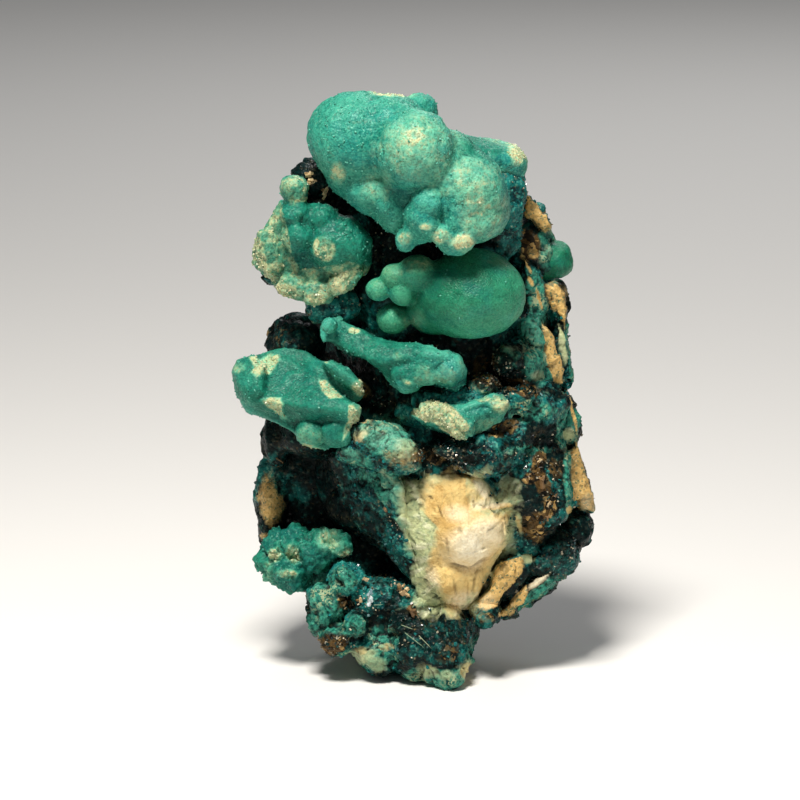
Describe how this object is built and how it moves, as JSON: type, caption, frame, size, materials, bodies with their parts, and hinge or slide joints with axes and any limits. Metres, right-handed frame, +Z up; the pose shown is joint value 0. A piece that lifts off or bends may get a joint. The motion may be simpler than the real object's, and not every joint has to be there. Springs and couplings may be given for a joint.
{
  "type": "copper mineral specimen with blue-green botryoidal crusts on dark rock",
  "caption": "Hand specimen of rounded blue-green mineral crusts grown on dark craggy rock with cream patches, standing on its own flat foot.",
  "frame": {"origin": "on the flat foot that the specimen stands on, under the middle of its front", "axes": "+Z up, out of the foot; -Y towards the front that carries the crusts; +X to the viewer's right"},
  "size_m": [0.0181, 0.0125, 0.0292],
  "materials": {
    "rock": "dark craggy rock with glittering fine crystals, cream seams and rusty patches",
    "crust": "fine-grained blue-green crust, slightly waxy",
    "pale_crust": "fine-grained crust of cream and blue-green patches",
    "green_crust": "smooth green crust, slightly glassy"
  },
  "bodies": {
    "root": {"rock": "rock", "crown": "crust", "rosette": "pale_crust", "dome": "green_crust", "upper_ledge": "crust", "lower_ledge": "crust", "saddle": "pale_crust", "left_foot_crust": "crust", "rim_bud": "green_crust"}
  },
  "joints": []
}
